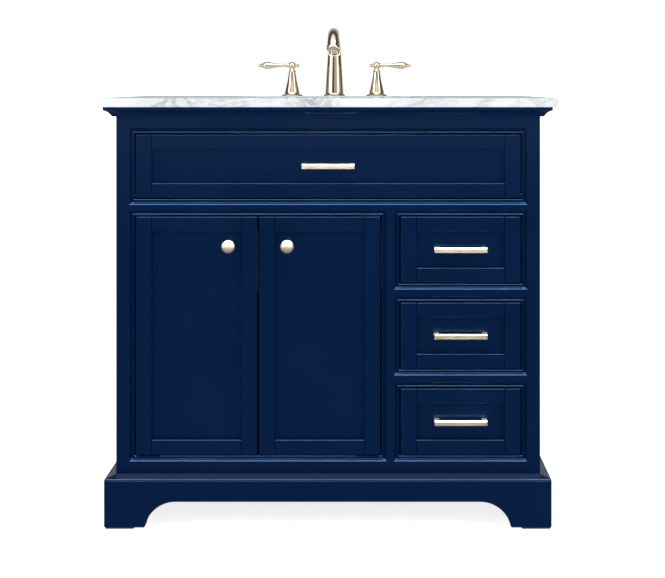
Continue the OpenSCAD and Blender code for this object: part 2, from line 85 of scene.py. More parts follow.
# ---------------------------------------------------------------- outlines
def arc(centre, radius, start, end, steps):
    """Points along a circular arc, from one angle to another in degrees."""
    points = []
    for i in range(steps + 1):
        angle = math.radians(start + (end - start) * i / steps)
        points.append((centre[0] + radius * math.cos(angle), centre[1] + radius * math.sin(angle)))
    return points


def scaled(points, factor):
    """The same outline, larger or smaller."""
    return [(a * factor, b * factor) for a, b in points]


# ---------------------------------------------------------------- mesh helpers
def outline_face(bm, points, place):
    """One face through the points of an outline. place turns (a, b) into a position."""
    return bm.faces.new([bm.verts.new(place(a, b)) for a, b in points])


def extruded(bm, faces, move):
    """Extrudes faces along a vector and returns the corners of the far end."""
    grown = bmesh.ops.extrude_face_region(bm, geom=faces, use_keep_orig=True)
    verts = [g for g in grown["geom"] if isinstance(g, bmesh.types.BMVert)]
    bmesh.ops.translate(bm, verts=verts, vec=move)
    return verts


def board(bm, low, high):
    """A rectangular board between two corners."""
    low, high = Vector(low), Vector(high)
    size = high - low
    matrix = Matrix.Translation((low + high) / 2) @ Matrix.Diagonal((*size, 1))
    return bmesh.ops.create_cube(bm, size=1, matrix=matrix)["verts"]


def mitred_strip(bm, section, length, matrix, mitres=(1, 1)):
    """A moulding along +X with its section in (outward, depth): outward is -Z and depth +Y.
    Each end is cut to a mitre by shearing it: 1 grows outwards, 0 is square, -1 the inner way."""
    face = outline_face(bm, section, lambda out, depth: (0, depth, -out))
    start = list(face.verts)
    end = extruded(bm, [face], (length, 0, 0))
    for v in start:
        v.co.x += v.co.z * mitres[0]
    for v in end:
        v.co.x -= v.co.z * mitres[1]
    bmesh.ops.transform(bm, matrix=matrix, verts=start + end)


def turned(bm, profile, matrix=Matrix.Identity(4), steps=48):
    """A solid turned on Z from a profile of (radius, height) points."""
    before = set(bm.verts)
    verts = [bm.verts.new((r, 0, z)) for r, z in profile]
    edges = [bm.edges.new(pair) for pair in zip(verts, verts[1:])]
    bmesh.ops.spin(bm, geom=verts + edges, cent=(0, 0, 0), axis=(0, 0, 1),
                   angle=2 * math.pi, steps=steps, use_merge=True, use_duplicate=False)
    bmesh.ops.remove_doubles(bm, verts=[v for v in bm.verts if v not in before], dist=SAME_PLACE)
    made = [v for v in bm.verts if v not in before]
    bmesh.ops.transform(bm, matrix=matrix, verts=made)


def swept(bm, places, segments=32):
    """Carries a circle through a list of matrices and closes both ends."""
    ring = bmesh.ops.create_circle(bm, cap_ends=False, segments=segments, radius=1,
                                   matrix=places[0])["verts"]
    edges = list({e for v in ring for e in v.link_edges})
    first = edges
    for before, after in zip(places, places[1:]):
        grown = bmesh.ops.extrude_edge_only(bm, edges=edges)["geom"]
        verts = [g for g in grown if isinstance(g, bmesh.types.BMVert)]
        new = set(verts)
        bmesh.ops.transform(bm, matrix=after @ before.inverted(), verts=verts)
        edges = [g for g in grown if isinstance(g, bmesh.types.BMEdge)
                 and g.verts[0] in new and g.verts[1] in new]
    for loop in (first, edges):
        bmesh.ops.holes_fill(bm, edges=loop, sides=0)


def rounded_loop(bm, width, depth, radius, centre, steps=10):
    """A loop of edges in the shape of a rectangle with round corners."""
    corners = [(1, 1, 0), (-1, 1, 90), (-1, -1, 180), (1, -1, 270)]
    points = []
    for sx, sy, start in corners:
        corner = (centre[0] + sx * (width / 2 - radius), centre[1] + sy * (depth / 2 - radius))
        points += arc(corner, radius, start, start + 90, steps)
    verts = [bm.verts.new((x, y, centre[2])) for x, y in points]
    return [bm.edges.new((a, b)) for a, b in zip(verts, verts[1:] + verts[:1])]


def piece(name, bm, body, slot, material, nodes, closed=True):
    """Turns a mesh into a finished piece of the object that stands for CAD nodes. An open shell
    already faces the right way and is left so."""
    if closed:
        bmesh.ops.recalc_face_normals(bm, faces=list(bm.faces))
    mesh = bpy.data.meshes.new(name)
    bm.to_mesh(mesh)
    bm.free()
    mesh.materials.append(material)
    mesh.shade_smooth()
    mesh.set_sharp_from_angle(angle=SMOOTH_ANGLE)
    obj = bpy.data.objects.new(name, mesh)
    bpy.context.scene.collection.objects.link(obj)
    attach(obj, body)
    if nodes:
        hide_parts(*nodes)
    return obj


def soften(obj, width, segments=2, weighted=False):
    """Rounds the sharp edges of a piece."""
    bevel = obj.modifiers.new("soften", "BEVEL")
    bevel.width = width
    bevel.segments = segments
    bevel.limit_method = "WEIGHT" if weighted else "ANGLE"
    bevel.angle_limit = SMOOTH_ANGLE
    bevel.harden_normals = True
    return obj


def weigh_edges(bm, rule):
    """Sets each edge's share of the rounding. rule gets the edge's middle and direction."""
    layer = bm.edges.layers.float.new("bevel_weight_edge")
    for edge in bm.edges:
        if len(edge.link_faces) == 2 and edge.calc_face_angle(0) > SMOOTH_ANGLE:
            a, b = edge.verts
            edge[layer] = rule((a.co + b.co) / 2, (b.co - a.co).normalized())


def refinish(node, material, edge=0.0):
    """Gives a CAD node a better material and, where asked, softened edges."""
    obj = frame["nodes"][node]
    obj.data.materials.clear()
    obj.data.materials.append(material)
    if edge:
        weld = obj.modifiers.new("weld", "WELD")
        weld.merge_threshold = 1e-5
        soften(obj, edge)


# ---------------------------------------------------------------- materials
def add_node(tree, kind, **settings):
    """A node with its properties set, and its input sockets by name."""
    made = tree.nodes.new(kind)
    for key, value in settings.items():
        if key in made.bl_rna.properties:
            setattr(made, key, value)
        else:
            made.inputs[key.replace("_", " ")].default_value = value
    return made


def effect_group(name, inputs, outputs):
    """An empty node group with named sockets, given as (name, kind, default)."""
    group = bpy.data.node_groups.new(name, "ShaderNodeTree")
    for label, kind, default in inputs:
        made = group.interface.new_socket(name=label, in_out="INPUT", socket_type=kind)
        made.default_value = default
    for label, kind in outputs:
        group.interface.new_socket(name=label, in_out="OUTPUT", socket_type=kind)
    return group, group.nodes.new("NodeGroupInput"), group.nodes.new("NodeGroupOutput")


def mottle_group():
    """Slow, soft changes of shade over a surface."""
    group, given, out = effect_group(
        "mottle",
        [("Colour", "NodeSocketColor", (1, 1, 1, 1)), ("Scale", "NodeSocketFloat", 5.0),
         ("Spread", "NodeSocketFloat", 0.05)],
        [("Colour", "NodeSocketColor"), ("Mask", "NodeSocketFloat")])
    place = add_node(group, "ShaderNodeTexCoord")
    noise = add_node(group, "ShaderNodeTexNoise", Detail=4.0, Roughness=0.55)
    low = add_node(group, "ShaderNodeMath", operation="SUBTRACT")
    low.inputs[0].default_value = 1.0
    high = add_node(group, "ShaderNodeMath", operation="ADD")
    high.inputs[0].default_value = 1.0
    ranged = add_node(group, "ShaderNodeMapRange", From_Min=0.3, From_Max=0.7)
    shade = add_node(group, "ShaderNodeMix", data_type="RGBA", blend_type="MULTIPLY")
    shade.inputs["Factor"].default_value = 1.0
    link = group.links.new
    link(place.outputs["Object"], noise.inputs["Vector"])
    link(given.outputs["Scale"], noise.inputs["Scale"])
    link(given.outputs["Spread"], low.inputs[1])
    link(given.outputs["Spread"], high.inputs[1])
    link(noise.outputs["Fac"], ranged.inputs["Value"])
    link(low.outputs[0], ranged.inputs["To Min"])
    link(high.outputs[0], ranged.inputs["To Max"])
    link(given.outputs["Colour"], shade.inputs["A"])
    link(ranged.outputs[0], shade.inputs["B"])
    link(shade.outputs["Result"], out.inputs["Colour"])
    link(noise.outputs["Fac"], out.inputs["Mask"])
    return group


def relief_group():
    """Fine relief in a surface, stretched along any axis."""
    group, given, out = effect_group(
        "relief",
        [("Stretch", "NodeSocketVector", (1, 1, 1)), ("Scale", "NodeSocketFloat", 400.0),
         ("Height", "NodeSocketFloat", 0.1)],
        [("Normal", "NodeSocketVector"), ("Mask", "NodeSocketFloat")])
    place = add_node(group, "ShaderNodeTexCoord")
    stretch = add_node(group, "ShaderNodeVectorMath", operation="MULTIPLY")
    noise = add_node(group, "ShaderNodeTexNoise", Detail=3.0, Roughness=0.5)
    bump = add_node(group, "ShaderNodeBump", Distance=0.0005)
    link = group.links.new
    link(place.outputs["Object"], stretch.inputs[0])
    link(given.outputs["Stretch"], stretch.inputs[1])
    link(stretch.outputs[0], noise.inputs["Vector"])
    link(given.outputs["Scale"], noise.inputs["Scale"])
    link(noise.outputs["Fac"], bump.inputs["Height"])
    link(given.outputs["Height"], bump.inputs["Strength"])
    link(bump.outputs["Normal"], out.inputs["Normal"])
    link(noise.outputs["Fac"], out.inputs["Mask"])
    return group


GROUPS = {}


def effect(tree, name, **values):
    """Places a shared effect in a material with its own values."""
    if not GROUPS:
        GROUPS.update(mottle=mottle_group(), relief=relief_group())
    made = tree.nodes.new("ShaderNodeGroup")
    made.node_tree = GROUPS[name]
    for key, value in values.items():
        made.inputs[key].default_value = value
    return made


def new_material(name, **values):
    """A material with one Principled shader whose plain values are set on its sockets."""
    material = bpy.data.materials.new(name)
    material.use_nodes = True
    shader = material.node_tree.nodes["Principled BSDF"]
    for key, value in values.items():
        shader.inputs[key.replace("_", " ")].default_value = value
    return material, material.node_tree, shader


def ranged_roughness(tree, mask, shader, low, high):
    """Drives roughness between two values by a mask."""
    spread = add_node(tree, "ShaderNodeMapRange", From_Min=0.35, From_Max=0.65,
                      To_Min=low, To_Max=high)
    tree.links.new(mask, spread.inputs["Value"])
    tree.links.new(spread.outputs[0], shader.inputs["Roughness"])


def mottled_material(name, colour, spread, patch, rough, grain, height, stretch=(1, 1, 1),
                     **values):
    """A material with soft changes of shade, uneven gloss and fine relief. patch and grain are
    the scales of the shading and the relief, and rough is the range of its roughness."""
    material, tree, shader = new_material(name, **values)
    shade = effect(tree, "mottle", Colour=(*colour, 1), Scale=patch, Spread=spread)
    fine = effect(tree, "relief", Scale=grain, Height=height, Stretch=stretch)
    tree.links.new(shade.outputs["Colour"], shader.inputs["Base Color"])
    tree.links.new(fine.outputs["Normal"], shader.inputs["Normal"])
    ranged_roughness(tree, shade.outputs["Mask"], shader, *rough)
    return material


def lacquer(settings):
    """Navy satin lacquer with the faint orange peel of a sprayed finish."""
    return mottled_material("navy_lacquer", settings.paint, 0.07, 6.0, (0.16, 0.21), 700.0, 0.01,
                            Specular_IOR_Level=0.26, Specular_Tint=(0.26, 0.50, 1.0, 1))


def marble(settings):
    """White marble with soft grey veins that run on the slant."""
    material, tree, shader = new_material("white_marble", Coat_Weight=0.4, Coat_Roughness=0.06,
                                          Specular_IOR_Level=0.5)
    place = add_node(tree, "ShaderNodeTexCoord")
    turn = add_node(tree, "ShaderNodeMapping")
    turn.inputs["Rotation"].default_value = (math.radians(20), math.radians(35), math.radians(28))
    turn.inputs["Scale"].default_value = (1.0, 3.2, 1.6)
    drift = add_node(tree, "ShaderNodeTexNoise", Scale=3.0, Detail=6.0, Roughness=0.6,
                     Distortion=1.2)
    vein = add_node(tree, "ShaderNodeTexNoise", Scale=7.0, Detail=8.0, Roughness=0.62,
                    Distortion=2.2)
    narrow = add_node(tree, "ShaderNodeMath", operation="SUBTRACT")
    narrow.inputs[1].default_value = 0.5
    size = add_node(tree, "ShaderNodeMath", operation="ABSOLUTE")
    ramp = add_node(tree, "ShaderNodeMapRange", From_Min=0.0, From_Max=0.055,
                    To_Min=1.0, To_Max=0.0)
    cloud = add_node(tree, "ShaderNodeMapRange", From_Min=0.42, From_Max=0.68)
    strength = add_node(tree, "ShaderNodeMath", operation="MULTIPLY")
    soft = add_node(tree, "ShaderNodeMath", operation="MULTIPLY_ADD")
    soft.inputs[1].default_value = 0.30
    colour = add_node(tree, "ShaderNodeMix", data_type="RGBA")
    colour.inputs["A"].default_value = (*settings.stone, 1)
    colour.inputs["B"].default_value = (*settings.vein, 1)
    fine = effect(tree, "relief", Scale=220.0, Height=0.02)
    link = tree.links.new
    link(place.outputs["Object"], turn.inputs["Vector"])
    link(turn.outputs["Vector"], drift.inputs["Vector"])
    link(turn.outputs["Vector"], vein.inputs["Vector"])
    link(vein.outputs["Fac"], narrow.inputs[0])
    link(narrow.outputs[0], size.inputs[0])
    link(size.outputs[0], ramp.inputs["Value"])
    link(drift.outputs["Fac"], cloud.inputs["Value"])
    link(ramp.outputs[0], strength.inputs[0])
    link(cloud.outputs[0], strength.inputs[1])
    link(cloud.outputs[0], soft.inputs[0])
    link(strength.outputs[0], soft.inputs[2])
    link(soft.outputs[0], colour.inputs["Factor"])
    link(colour.outputs["Result"], shader.inputs["Base Color"])
    link(fine.outputs["Normal"], shader.inputs["Normal"])
    ranged_roughness(tree, drift.outputs["Fac"], shader, 0.10, 0.17)
    return material


def plywood():
    """Lacquered birch with a grain that runs the length of the boards."""
    material, tree, shader = new_material("birch_board", Coat_Weight=0.15, Coat_Roughness=0.3)
    place = add_node(tree, "ShaderNodeTexCoord")
    turn = add_node(tree, "ShaderNodeMapping")
    turn.inputs["Scale"].default_value = (1.0, 1.0, 14.0)
    grain = add_node(tree, "ShaderNodeTexNoise", Scale=9.0, Detail=7.0, Roughness=0.6,
                     Distortion=0.6)
    colour = add_node(tree, "ShaderNodeMix", data_type="RGBA")
    colour.inputs["A"].default_value = (0.62, 0.45, 0.27, 1)
    colour.inputs["B"].default_value = (0.78, 0.62, 0.42, 1)
    ramp = add_node(tree, "ShaderNodeMapRange", From_Min=0.35, From_Max=0.65)
    fine = effect(tree, "relief", Scale=30.0, Height=0.15, Stretch=(1.0, 1.0, 18.0))
    link = tree.links.new
    link(place.outputs["Object"], turn.inputs["Vector"])
    link(turn.outputs["Vector"], grain.inputs["Vector"])
    link(grain.outputs["Fac"], ramp.inputs["Value"])
    link(ramp.outputs[0], colour.inputs["Factor"])
    link(colour.outputs["Result"], shader.inputs["Base Color"])
    link(fine.outputs["Normal"], shader.inputs["Normal"])
    ranged_roughness(tree, grain.outputs["Fac"], shader, 0.38, 0.52)
    return material


MATERIALS = {}


def finish_for(name):
    """The material of a given finish, made the first time it is asked for."""
    if name not in MATERIALS:
        paint = bpy.context.scene.vanity_case
        metal = bpy.context.scene.vanity_metal
        top = bpy.context.scene.vanity_top
        makers = {
            "paint": lambda: lacquer(paint),
            "stone": lambda: marble(top),
            "board": plywood,
            "gold": lambda: mottled_material("polished_gold", metal.gold, 0.04, 30.0,
                                             (0.07, 0.11), 260.0, 0.01, Metallic=1.0),
            "satin": lambda: mottled_material("satin_gold", metal.gold, 0.04, 40.0, (0.34, 0.40),
                                              900.0, 0.006, (0.2, 1, 1), Metallic=1.0),
            "steel": lambda: mottled_material("zinc_steel", (0.58, 0.58, 0.60), 0.05, 60.0,
                                              (0.24, 0.36), 500.0, 0.05, (1, 1, 6), Metallic=1.0),
            "blackened": lambda: mottled_material("blackened_steel", (0.012, 0.013, 0.016), 0.1,
                                                  80.0, (0.35, 0.5), 500.0, 0.05, Metallic=1.0),
            "china": lambda: mottled_material("white_glaze", (0.90, 0.90, 0.885), 0.012, 8.0,
                                              (0.06, 0.11), 90.0, 0.01, Coat_Weight=0.6,
                                              Coat_Roughness=0.04),
            "rubber": lambda: mottled_material("dark_rubber", (0.03, 0.03, 0.03), 0.15, 60.0,
                                               (0.6, 0.8), 900.0, 0.2),
            "plastic": lambda: mottled_material("white_plastic", (0.86, 0.86, 0.85), 0.02, 12.0,
                                                (0.28, 0.36), 600.0, 0.04),
        }
        MATERIALS[name] = makers[name]()
    return MATERIALS[name]


SLOTS = {
    "paint": "navy_paint", "stone": "stone", "board": "case_board", "gold": "gold_metal",
    "steel": "steel", "china": "glazed", "rubber": "pad", "plastic": "tray_plastic",
    "blackened": "steel", "satin": "gold_metal",
}


def part(name, bm, body, finish, nodes, edge=0.0, segments=2, weighted=False):
    """A finished piece in one of the object's finishes."""
    obj = piece(name, bm, body, SLOTS[finish], finish_for(finish), nodes)
    if edge:
        soften(obj, edge, segments, weighted)
    return obj


# ---------------------------------------------------------------- settings
def length(name, description, default):
    """A length property in metres."""
    return bpy.props.FloatProperty(name=name, description=description, default=default,
                                   min=0.0, subtype="DISTANCE", unit="LENGTH")


def colour(name, description, default):
    """A colour property."""
    return bpy.props.FloatVectorProperty(name=name, description=description, default=default,
                                         size=3, min=0.0, max=1.0, subtype="COLOR")


class CaseSettings(bpy.types.PropertyGroup):
    """Sizes and paint of the case and its fronts"""
    paint: colour("Paint", "Colour of the lacquer", (0.0004, 0.0072, 0.0340))
    stile_width: length("Stile width", "Width of the upright members of a front", 31.5 * MM)
    rail_width: length("Rail width", "Width of the level members of a front", 29.5 * MM)
    edge: length("Edge radius", "Rounding of the edges of the boards", 1.1 * MM)
    moulding_width: length("Bead width", "Width of the moulding round each opening", 12.5 * MM)
    foot_edge: length("Foot radius", "Rounding of the edges of the base", 1.6 * MM)


class TopSettings(bpy.types.PropertyGroup):
    """Colours and edge of the stone top"""
    stone: colour("Stone", "Ground colour of the stone", (0.63, 0.65, 0.68))
    vein: colour("Veins", "Colour of the veins", (0.27, 0.29, 0.32))
    edge: length("Edge radius", "Rounding of the edges of the stone", 2.2 * MM)


class MetalSettings(bpy.types.PropertyGroup):
    """Colour and edges of the gold fittings"""
    gold: colour("Gold", "Colour of the champagne gold plating", (0.78, 0.67, 0.50))
    chamfer: length("Pull chamfer", "Chamfer along the edges of a pull", 1.5 * MM)


class StageSettings(bpy.types.PropertyGroup):
    """The floor and the camera"""
    floor: colour("Floor", "Colour of the floor", (0.92, 0.92, 0.92))
    eye_height: length("Eye height", "Height of the camera above the floor", 0.884)
    eye_side: length("Eye offset", "Distance of the camera to the right of the middle", 0.076)
    eye_distance: length("Eye distance", "Distance of the camera from the top's edge", 2.2)
    lens: bpy.props.FloatProperty(name="Lens", description="Focal length of the camera",
                                  default=60.2, min=20.0, max=200.0, subtype="DISTANCE_CAMERA")


# ---------------------------------------------------------------- mouldings
def bead_section(width):
    """Section of the bead moulding: (out from the opening, depth behind the frame's face).
    From the outside in it has a round edge, a cove, a quirk and a small bead."""
    depth = 8 * MM
    bead_r = 2.1 * MM
    edge_r = 3.2 * MM
    cove_r = 2.6 * MM
    bead_at = (2.5 * MM, 4.6 * MM)
    points = [(0, depth), (0.3 * MM, bead_at[1] + 0.8 * MM)]
    points += arc(bead_at, bead_r, 170, 370, 12)
    points += [(bead_at[0] + bead_r + 0.3 * MM, 5.9 * MM)]
    cove_top = (width - edge_r, edge_r)
    points += arc((cove_top[0] - cove_r, cove_top[1] + 0.2 * MM), cove_r, 90, 10, 6)
    points += arc((width, edge_r), edge_r, 180, 270, 8)
    points += [(width, depth)]
    return points


def moulded_opening(bm, low, high, face, width):
    """Four mitred strips round an opening in the plane of the face."""
    section = bead_section(width)
    sides = [
        ((low[0], low[1]), 0, high[0] - low[0]),
        ((high[0], low[1]), -90, high[1] - low[1]),
        ((high[0], high[1]), 180, high[0] - low[0]),
        ((low[0], high[1]), 90, high[1] - low[1]),
    ]
    for (x, z), turn, span in sides:
        matrix = Matrix.Translation((x, face, z)) @ Matrix.Rotation(math.radians(turn), 4, "Y")
        mitred_strip(bm, section, span, matrix)


def round_case(bm, section, corner, back):
    """A moulding round the front and both sides. The section is (out from the case, height)."""
    x, y = corner
    quarter = math.radians(90)
    front = Matrix.Translation((-x, y, 0))
    right = Matrix.Translation((x, y, 0)) @ Matrix.Rotation(quarter, 4, "Z")
    left = Matrix.Translation((-x, back, 0)) @ Matrix.Rotation(-quarter, 4, "Z")
    for place, span, mitres in ((front, 2 * x, (1, 1)), (right, back - y, (1, 0)),
                                (left, back - y, (0, 1))):
        mitred_strip(bm, section, span, place @ SWAP_Y_AND_Z, mitres)


class VANITY_OT_mouldings(bpy.types.Operator):
    """Crown, base cap and the bead mouldings round the openings"""
    bl_idname = "vanity.mouldings"
    bl_label = "Mouldings"

    def execute(self, context):
        settings = context.scene.vanity_case
        width = settings.moulding_width
        for node in ("tip_out_bead", "door_bead"):
            low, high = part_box(node)
            bm = bmesh.new()
            moulded_opening(bm, (low.x + width, low.z + width), (high.x - width, high.z - width),
                            low.y, width)
            part(node + "_moulding", bm, "cabinet", "paint", [node])
        low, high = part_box("drawer_beads")
        openings = 3
        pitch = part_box("drawer_middle_front")[0].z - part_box("drawer_bottom_front")[0].z
        opening_h = high.z - low.z - 2 * width - (openings - 1) * pitch
        bm = bmesh.new()
        for i in range(openings):
            z = low.z + width + i * pitch
            moulded_opening(bm, (low.x + width, z), (high.x - width, z + opening_h), low.y, width)
        part("drawer_bead_mouldings", bm, "cabinet", "paint", ["drawer_beads"])
        self.crown()
        self.base_cap()
        return {"FINISHED"}

    def crown(self):
        """A cove under a square fascia, with a step at its foot."""
        low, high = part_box("crown")
        case_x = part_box("side_right")[1].x
        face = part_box("stile_left")[0].y
        out = high.x - case_x
        base, top = low.z, high.z
        fascia = 6 * MM
        step = 7.2 * MM
        section = [(0, base), (step - 0.4 * MM, base), (step, base + 0.4 * MM)]
        section += [(step, base + 1.2 * MM)]
        section += arc((27.2 * MM, base - 8.9 * MM), 22 * MM, 152.5, 104.5, 10)
        section += [(out - 0.4 * MM, top - fascia), (out, top - fascia + 0.5 * MM)]
        section += [(out, top - 0.6 * MM), (out - 0.6 * MM, top), (0, top)]
        bm = bmesh.new()
        round_case(bm, section, (case_x, face), high.y)
        part("crown_moulding", bm, "cabinet", "paint", ["crown"])

    def base_cap(self):
        """A sloping cap with a round nose on top of the base."""
        low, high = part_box("base_cap")
        case_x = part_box("side_right")[1].x
        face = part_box("stile_left")[0].y
        out = high.x - case_x
        nose = 1.5 * MM
        section = [(0, low.z)]
        section += arc((out - nose, low.z + nose), nose, -90, 75, 8)
        section += [(out - 4 * MM, low.z + 3.9 * MM), (3 * MM, high.z - 0.9 * MM), (0, high.z)]
        bm = bmesh.new()
        round_case(bm, section, (case_x, face), high.y)
        part("base_cap_moulding", bm, "cabinet", "paint", ["base_cap"])


# ---------------------------------------------------------------- case and base
class VANITY_OT_case(bpy.types.Operator):
    """Sides, face frame, shelves, back and the hidden fittings of the case"""
    bl_idname = "vanity.case"
    bl_label = "Case"

    def execute(self, context):
        edge = context.scene.vanity_case.edge
        for node in ("side_left", "side_right"):
            refinish(node, finish_for("paint"), edge)
        for node in ("stile_left", "stile_right", "stile_centre", "rail_top", "rail_middle",
                     "rail_bottom", "drawer_rails"):
            refinish(node, finish_for("paint"))
        for node in ("partition", "bottom_panel", "back_rail"):
            refinish(node, finish_for("paint"), 0.6 * MM)
        for node in ("back_panel", "corner_blocks"):
            refinish(node, finish_for("board"), 0.6 * MM)
        self.paint_inside(frame["nodes"]["back_panel"])
        refinish("runners", finish_for("blackened"))
        for node in ("hinge_plates", "door_left_hinges", "door_right_hinges", "tip_out_hinges"):
            refinish(node, finish_for("paint"))
        refinish("foot_pads", finish_for("rubber"), 0.8 * MM)
        return {"FINISHED"}

    def paint_inside(self, board):
        """Paints the face of the back panel that looks into the case."""
        board.data.materials.append(finish_for("paint"))
        for face in board.data.polygons:
            if face.normal.y < -0.5:
                face.material_index = 1


def arched_outline(span, low, high, inset, top, radius, corner):
    """Outline of a board with a foot at each end and an arch between them."""
    centre_z = top - radius
    foot = inset - math.sqrt(radius ** 2 - (low - centre_z) ** 2)
    start = math.degrees(math.asin((low - centre_z) / radius))
    points = arc((corner, low + corner), corner, 180, 270, 4)
    points += arc((foot - corner, low + corner), corner, 270, 340, 4)
    points += arc((inset, centre_z), radius, 178 - start, 90, 14)
    points += [(span - a, b) for a, b in reversed(points)]
    points += [(span, high), (0, high)]
    return points


class VANITY_OT_base(bpy.types.Operator):
    """Arched base boards round the front and sides"""
    bl_idname = "vanity.base"
    bl_label = "Base"

    arch_top = 54.4 * MM
    arch_radius = 62 * MM
    arch_inset = 142 * MM
    corner = 2.5 * MM

    def outline(self, span, low, high):
        """The outline of a board of this base."""
        return arched_outline(span, low, high, self.arch_inset, self.arch_top,
                              self.arch_radius, self.corner)

    def execute(self, context):
        edge = context.scene.vanity_case.foot_edge
        low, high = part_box("base_front")
        thick = high.y - low.y
        bm = bmesh.new()
        span = high.x - low.x
        face = outline_face(bm, self.outline(span, low.z, high.z),
                            lambda a, b: (low.x + a, low.y, b))
        inner = extruded(bm, [face], (0, thick, 0))
        self.mitre(inner, 0, (low.x, high.x), thick)
        part("base_front_board", bm, "cabinet", "paint", ["base_front"], edge, 3)

        low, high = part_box("base_sides")
        span = high.y - low.y
        bm = bmesh.new()
        for side in (-1, 1):
            face = outline_face(bm, self.outline(span, low.z, high.z),
                                lambda a, b: (side * high.x, low.y + a, b))
            inner = extruded(bm, [face], (-side * thick, 0, 0))
            self.mitre(inner, 1, (low.y,), thick)
        part("base_side_boards", bm, "cabinet", "paint", ["base_sides"], edge, 3)
        return {"FINISHED"}

    def mitre(self, verts, axis, ends, thick):
        """Draws the inner face in at the mitred ends."""
        for v in verts:
            for end in ends:
                near = abs(v.co[axis] - end)
                if near < self.corner * 1.01:
                    v.co[axis] += math.copysign(thick, -end)


# ---------------------------------------------------------------- fronts
JOINT_GAP = 0.7 * MM


def front_weight(x_joints):
    """Full rounding on outer edges, a little less at the joints between stile and rail."""
    def rule(middle, direction):
        upright = abs(direction.z) > 0.9
        at_joint = any(abs(middle.x - x) < JOINT_GAP + 0.2 * MM for x in x_joints)
        return 0.85 if upright and at_joint else 1.0
    return rule


def framed_front(bm, low, high, stile, rail):
    """Two stiles and two rails, as four separate boards with a fine line at each joint."""
    board(bm, low, (low.x + stile, high.y, high.z))
    board(bm, (high.x - stile, low.y, low.z), high)
    left, right = low.x + stile + JOINT_GAP, high.x - stile - JOINT_GAP
    board(bm, (left, low.y, low.z), (right, high.y, low.z + rail))
    board(bm, (left, low.y, high.z - rail), (right, high.y, high.z))
    weigh_edges(bm, front_weight((low.x + stile, high.x - stile)))


def bar_pull(bm, low, high, chamfer):
    """A chamfered bar on two square posts, inside the box given."""
    post = 10 * MM
    thick = 8 * MM
    shoulder = 0.4 * MM
    verts = board(bm, low, (high.x, low.y + thick, high.z))
    edges = list({e for v in verts for e in v.link_edges})
    bmesh.ops.bevel(bm, geom=edges, offset=chamfer, segments=1, profile=0.5, affect="EDGES",
                    material=-1)
    for x in (low.x, high.x - post):
        board(bm, (x, low.y + thick - shoulder, low.z + shoulder),
              (x + post, high.y, high.z - shoulder))


def knob_profile(radius, reach):
    """A low domed knob on a flared stem: (radius, height off the panel)."""
    rim = reach - 6.6 * MM
    points = [(0, 0), (7.5 * MM, 0), (7.5 * MM, 1.2 * MM)]
    points += arc((10.2 * MM, 8.5 * MM), 5.6 * MM, 235, 130, 10)
    points += [(radius - 1.6 * MM, rim - 0.6 * MM)]
    points += arc((radius - 0.9 * MM, rim + 0.4 * MM), 0.9 * MM, -60, 50, 6)
    rings = 12
    for i in range(1, rings + 1):
        angle = math.radians(90 * i / rings)
        points.append(((radius - 0.9 * MM) * math.cos(angle),
                       rim + 1.1 * MM + 5.5 * MM * math.sin(angle)))
    return points


class VANITY_OT_doors(bpy.types.Operator):
    """The two inset doors with their recessed panels and knobs"""
    bl_idname = "vanity.doors"
    bl_label = "Doors"

    def execute(self, context):
        settings = context.scene.vanity_case
        for side in ("left", "right"):
            body = "door_" + side
            low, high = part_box(body + "_frame")
            bm = bmesh.new()
            framed_front(bm, low, high, settings.stile_width, settings.rail_width)
            part(body + "_members", bm, body, "paint", [body + "_frame"], settings.edge, 3, True)
            low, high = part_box(body + "_panel")
            bm = bmesh.new()
            board(bm, low, high)
            part(body + "_board", bm, body, "paint", [body + "_panel"], PANEL_EDGE)
            low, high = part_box(body + "_knob")
            centre = (low + high) / 2
            place = (Matrix.Translation((centre.x, high.y, centre.z))
                     @ Matrix.Rotation(math.radians(90), 4, "X"))
            bm = bmesh.new()
            turned(bm, knob_profile((high.x - low.x) / 2, high.y - low.y), place)
            part(body + "_turned_knob", bm, body, "satin", [body + "_knob"])
        return {"FINISHED"}


class VANITY_OT_drawers(bpy.types.Operator):
    """The three drawers: front, box and pull"""
    bl_idname = "vanity.drawers"
    bl_label = "Drawers"

    def execute(self, context):
        settings = context.scene.vanity_case
        chamfer = context.scene.vanity_metal.chamfer
        for level in ("top", "middle", "bottom"):
            body = "drawer_" + level
            low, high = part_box(body + "_front")
            stile, rail = settings.stile_width, settings.rail_width
            bm = bmesh.new()
            framed_front(bm, low, high, stile, rail)
            recess = tongue = 8 * MM
            panel = 6 * MM
            board(bm, (low.x + stile - tongue, low.y + recess, low.z + rail - tongue),
                  (high.x - stile + tongue, low.y + recess + panel, high.z - rail + tongue))
            part(body + "_framed_front", bm, body, "paint", [body + "_front"], settings.edge, 3,
                 True)
            self.box(body)
            low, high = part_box(body + "_pull")
            bm = bmesh.new()
            bar_pull(bm, low, high, chamfer)
            part(body + "_bar_pull", bm, body, "satin", [body + "_pull"], 0.25 * MM)
        return {"FINISHED"}

    def box(self, body):
        """A box with its sides let into front and back, and a thin bottom."""
        low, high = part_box(body + "_box")
        side = 12 * MM
        bottom = 6 * MM
        bm = bmesh.new()
        for x in (low.x, high.x - side):
            board(bm, (x, low.y, low.z), (x + side, high.y, high.z))
        inner = side + 0.05 * MM
        for y in (low.y, high.y - side):
            board(bm, (low.x + inner, y, low.z), (high.x - inner, y + side, high.z))
        board(bm, (low.x + inner, low.y + inner, low.z + bottom),
              (high.x - inner, high.y - inner, low.z + 2 * bottom))
        part(body + "_wooden_box", bm, body, "board", [body + "_box"], 0.8 * MM)


